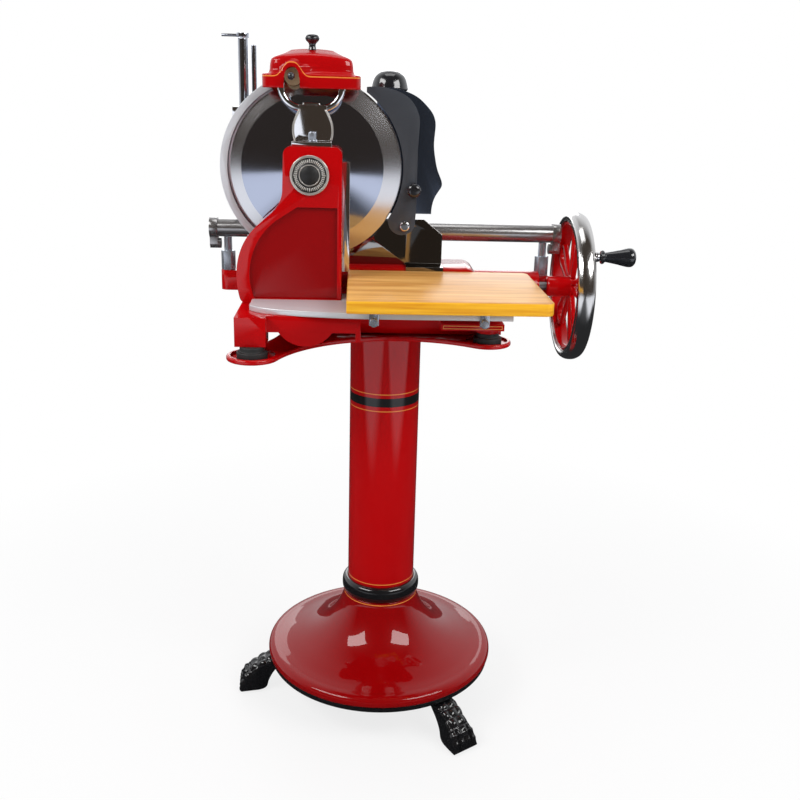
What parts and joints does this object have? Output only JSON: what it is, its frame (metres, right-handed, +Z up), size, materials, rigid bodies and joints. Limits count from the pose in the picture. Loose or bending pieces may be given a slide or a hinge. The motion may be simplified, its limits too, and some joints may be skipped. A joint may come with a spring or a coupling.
{
  "type": "hand crank meat slicer",
  "caption": "Hand-cranked meat slicer with dished round blade, flywheel, travelling product table and serving board, on a column pedestal with a bell foot and paw feet.",
  "frame": {"origin": "on the floor, under the axis of the pedestal column", "axes": "+X towards the flywheel, +Y away from the operator, +Z up; the blade turns about an axis along Y and the flywheel about an axis along X"},
  "size_m": [0.7256, 0.5497, 1.2125],
  "materials": {
    "paw_feet": "gloss",
    "base_plate": "gloss",
    "pedestal_dish": "gloss",
    "collar_ring": "gloss",
    "pedestal_column": "gloss",
    "tie_rod": "plain",
    "top_plate": "gloss",
    "rubber_feet": "matte",
    "slicer_base": "gloss",
    "receiving_tray": "satin",
    "wood_board": "oiled",
    "board_clips": "satin",
    "neck_bracket": "polished",
    "machine_screws": "polished",
    "blade_column": "gloss",
    "column_back_plate": "gloss",
    "column_badge": "polished rim, dark face",
    "slice_deflector": "polished",
    "mirror_plate": "polished",
    "guard_ring": "satin",
    "gauge_plate": "dark",
    "gauge_stud": "polished",
    "gauge_knob": "gloss",
    "sharpener_yoke": "polished",
    "sharpener_cover": "gloss",
    "sharpener_knob": "gloss",
    "stone_button": "gloss",
    "truing_stone": "abrasive",
    "grinding_stone": "abrasive",
    "ball_bearings": "ground",
    "fixed_studs": "ground",
    "driver_gear": "machined",
    "idler_gear_lower": "machined",
    "idler_gear_upper": "machined",
    "blade_gear": "machined",
    "flywheel_bevel": "machined",
    "cross_bevel": "machined",
    "cross_shaft": "ground",
    "crank_disc": "machined",
    "drive_lever": "machined",
    "blade_shaft": "ground",
    "blade": "mirror",
    "blade_clamp_plate": "polished",
    "flywheel_rim": "polished",
    "flywheel_spider": "gloss",
    "flywheel_shaft": "ground",
    "handle_stem": "polished",
    "crank_grip": "gloss",
    "rail_tube": "satin",
    "rail_end_caps": "satin",
    "rail_pillars": "satin",
    "rear_guide_bar": "satin",
    "carriage_frame": "gloss",
    "product_table": "satin",
    "fence_plate": "anodised dark",
    "fence_knob": "gloss",
    "clamp_posts": "polished",
    "press_arm": "satin",
    "clamp_handle": "polished",
    "feed_screw": "satin"
  },
  "bodies": {
    "pedestal_and_base": {"paw_feet": "paw_feet", "base_plate": "base_plate", "pedestal_dish": "pedestal_dish", "collar_ring": "collar_ring", "pedestal_column": "pedestal_column", "tie_rod": "tie_rod", "top_plate": "top_plate", "rubber_feet": "rubber_feet", "slicer_base": "slicer_base", "receiving_tray": "receiving_tray", "wood_board": "wood_board", "board_clips": "board_clips", "neck_bracket": "neck_bracket", "machine_screws": "machine_screws", "blade_column": "blade_column", "column_back_plate": "column_back_plate", "column_badge": "column_badge", "slice_deflector": "slice_deflector", "mirror_plate": "mirror_plate", "guard_ring": "guard_ring", "sharpener_yoke": "sharpener_yoke", "ball_bearings": "ball_bearings", "fixed_studs": "fixed_studs", "rail_tube": "rail_tube", "rail_end_caps": "rail_end_caps", "rail_pillars": "rail_pillars", "rear_guide_bar": "rear_guide_bar"},
    "flywheel": {"flywheel_rim": "flywheel_rim", "flywheel_spider": "flywheel_spider", "flywheel_shaft": "flywheel_shaft", "flywheel_bevel": "flywheel_bevel", "handle_stem": "handle_stem"},
    "grip": {"crank_grip": "crank_grip"},
    "cross": {"cross_shaft": "cross_shaft", "cross_bevel": "cross_bevel", "driver_gear": "driver_gear", "crank_disc": "crank_disc"},
    "idler_lower": {"idler_gear_lower": "idler_gear_lower"},
    "idler_upper": {"idler_gear_upper": "idler_gear_upper"},
    "blade_group": {"blade_shaft": "blade_shaft", "blade_gear": "blade_gear", "blade": "blade", "blade_clamp_plate": "blade_clamp_plate"},
    "lever": {"drive_lever": "drive_lever"},
    "gauge": {"gauge_plate": "gauge_plate", "gauge_stud": "gauge_stud"},
    "gauge_setting_knob": {"gauge_knob": "gauge_knob"},
    "cover": {"sharpener_cover": "sharpener_cover"},
    "cover_knob": {"sharpener_knob": "sharpener_knob"},
    "button": {"stone_button": "stone_button"},
    "stone_front": {"truing_stone": "truing_stone"},
    "stone_rear": {"grinding_stone": "grinding_stone"},
    "carriage": {"carriage_frame": "carriage_frame"},
    "table": {"product_table": "product_table", "clamp_posts": "clamp_posts"},
    "fence": {"fence_plate": "fence_plate"},
    "knob_on_fence": {"fence_knob": "fence_knob"},
    "screw": {"feed_screw": "feed_screw"},
    "press": {"press_arm": "press_arm"},
    "post_handle": {"clamp_handle": "clamp_handle"}
  },
  "joints": [
    {"name": "flywheel_spin", "type": "hinge", "parent": "pedestal_and_base", "child": "flywheel", "pos_m": [0.2, 0.02, 0.797], "axis": [1, 0, 0], "continuous": true},
    {"name": "grip_spin", "type": "hinge", "parent": "flywheel", "child": "grip", "pos_m": [0.38, -0.0783, 0.86583], "axis": [1, 0, 0], "continuous": true},
    {"name": "cross_spin", "type": "hinge", "parent": "pedestal_and_base", "child": "cross", "pos_m": [-0.129, 0, 0.797], "axis": [0, 1, 0], "continuous": true},
    {"name": "idler_lower_spin", "type": "hinge", "parent": "pedestal_and_base", "child": "idler_lower", "pos_m": [-0.129, -0.062, 0.8705], "axis": [0, 1, 0], "continuous": true},
    {"name": "idler_upper_spin", "type": "hinge", "parent": "pedestal_and_base", "child": "idler_upper", "pos_m": [-0.129, -0.062, 0.9395], "axis": [0, 1, 0], "continuous": true},
    {"name": "blade_spin", "type": "hinge", "parent": "pedestal_and_base", "child": "blade_group", "pos_m": [-0.129, -0.05, 0.995], "axis": [0, 1, 0], "continuous": true},
    {"name": "carriage_slide", "type": "slide", "parent": "pedestal_and_base", "child": "carriage", "axis": [1, 0, 0], "range_m": [-0.02, 0.16]},
    {"name": "drive_lever_swing", "type": "hinge", "parent": "pedestal_and_base", "child": "lever", "pos_m": [-0.129, 0.0965, 0.744], "axis": [0, 1, 0], "range_deg": [-10.5, 80]},
    {"name": "table_feed", "type": "slide", "parent": "carriage", "child": "table", "axis": [0, 1, 0], "range_m": [-0.01, 0.045]},
    {"name": "feed_screw_turn", "type": "hinge", "parent": "carriage", "child": "screw", "pos_m": [-0.02, 0.15, 0.897], "axis": [0, 1, 0], "range_deg": [-910, 4060]},
    {"name": "fence_slide", "type": "slide", "parent": "table", "child": "fence", "axis": [1, 0, 0], "range_m": [0, 0.06]},
    {"name": "fence_knob_turn", "type": "hinge", "parent": "fence", "child": "knob_on_fence", "pos_m": [0, 0.074, 1.12], "axis": [0, 0, 1], "range_deg": [-180, 180]},
    {"name": "press_slide", "type": "slide", "parent": "table", "child": "press", "axis": [0, 0, 1], "range_m": [-0.11, 0.08]},
    {"name": "clamp_handle_turn", "type": "hinge", "parent": "table", "child": "post_handle", "pos_m": [-0.258, 0.15, 1.208], "axis": [0, 0, 1], "range_deg": [-90, 90]},
    {"name": "gauge_slide", "type": "slide", "parent": "pedestal_and_base", "child": "gauge", "axis": [0, -1, 0], "range_m": [0, 0.01]},
    {"name": "gauge_knob_turn", "type": "hinge", "parent": "gauge", "child": "gauge_setting_knob", "pos_m": [0.042, -0.015, 0.962], "axis": [0, -1, 0], "range_deg": [0, 305]},
    {"name": "sharpener_drop", "type": "slide", "parent": "pedestal_and_base", "child": "cover", "axis": [0, 0, 1], "range_m": [-0.006, 0]},
    {"name": "sharpener_knob_turn", "type": "hinge", "parent": "cover", "child": "cover_knob", "pos_m": [-0.129, -0.007, 1.19], "axis": [0, 0, 1], "range_deg": [-1085, 0]},
    {"name": "stone_button_press", "type": "slide", "parent": "cover", "child": "button", "axis": [0, 1, 0], "range_m": [0, 0.004], "stiffness_N_per_m": 200},
    {"name": "truing_stone_spin", "type": "hinge", "parent": "button", "child": "stone_front", "pos_m": [-0.16, 0, 1.14], "axis": [0, 1, 0], "continuous": true},
    {"name": "grinding_stone_spin", "type": "hinge", "parent": "cover", "child": "stone_rear", "pos_m": [-0.098, 0, 1.14], "axis": [0, 1, 0], "continuous": true}
  ],
  "couplings": [
    {"joint": "cross_spin", "follows": "flywheel_spin", "ratio": 1},
    {"joint": "idler_lower_spin", "follows": "flywheel_spin", "ratio": -1.1304},
    {"joint": "idler_upper_spin", "follows": "flywheel_spin", "ratio": 1.1304},
    {"joint": "blade_spin", "follows": "flywheel_spin", "ratio": -1.8571},
    {"joint": "drive_lever_swing", "follows": "carriage_slide", "rad_per_m": 8.62},
    {"joint": "feed_screw_turn", "follows": "table_feed", "rad_per_m": 1570.8},
    {"joint": "gauge_knob_turn", "follows": "gauge_slide", "rad_per_m": 523.6},
    {"joint": "sharpener_knob_turn", "follows": "sharpener_drop", "rad_per_m": 3141.6}
  ]
}
